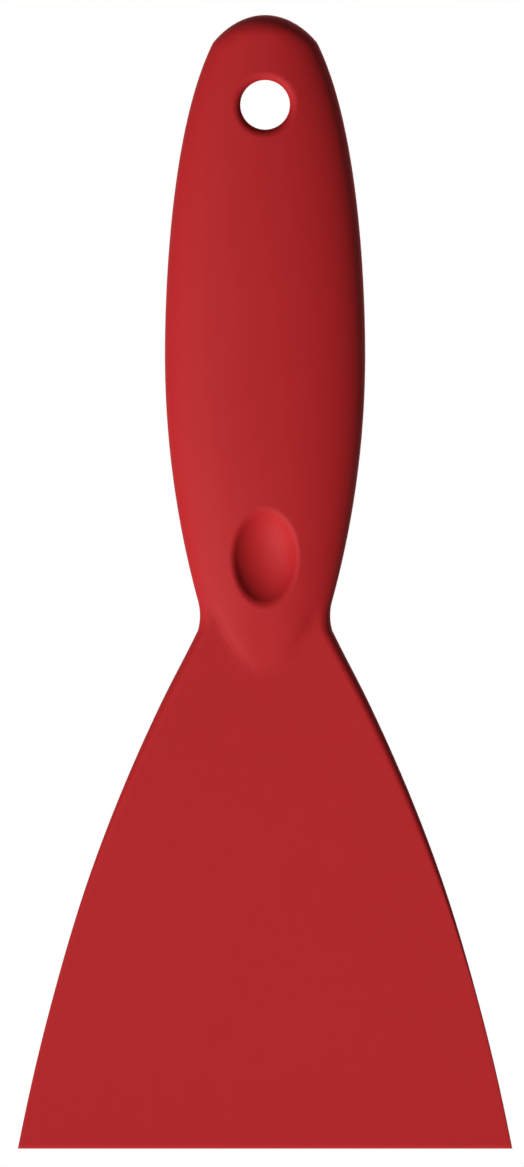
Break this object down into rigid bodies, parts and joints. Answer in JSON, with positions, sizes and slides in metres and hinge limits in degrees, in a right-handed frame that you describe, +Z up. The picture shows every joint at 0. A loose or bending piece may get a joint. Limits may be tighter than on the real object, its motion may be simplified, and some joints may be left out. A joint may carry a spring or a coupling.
{
  "type": "bowl scraper",
  "caption": "Flared plastic bowl scraper in plain red, with a wedge blade on a moulded grip, a thumb dimple and a hanging hole.",
  "frame": {"origin": "middle of the hanging hole, halfway through the handle's thickness", "axes": "+Z up along the handle as the scraper hangs, +X to the right as seen from the front, front face towards -Y"},
  "size_m": [0.11, 0.0174, 0.2522],
  "materials": {
    "red_polypropylene": "satin moulded polypropylene, one even red all over"
  },
  "bodies": {
    "root": {"blade": "red_polypropylene", "handle": "red_polypropylene"}
  },
  "joints": []
}
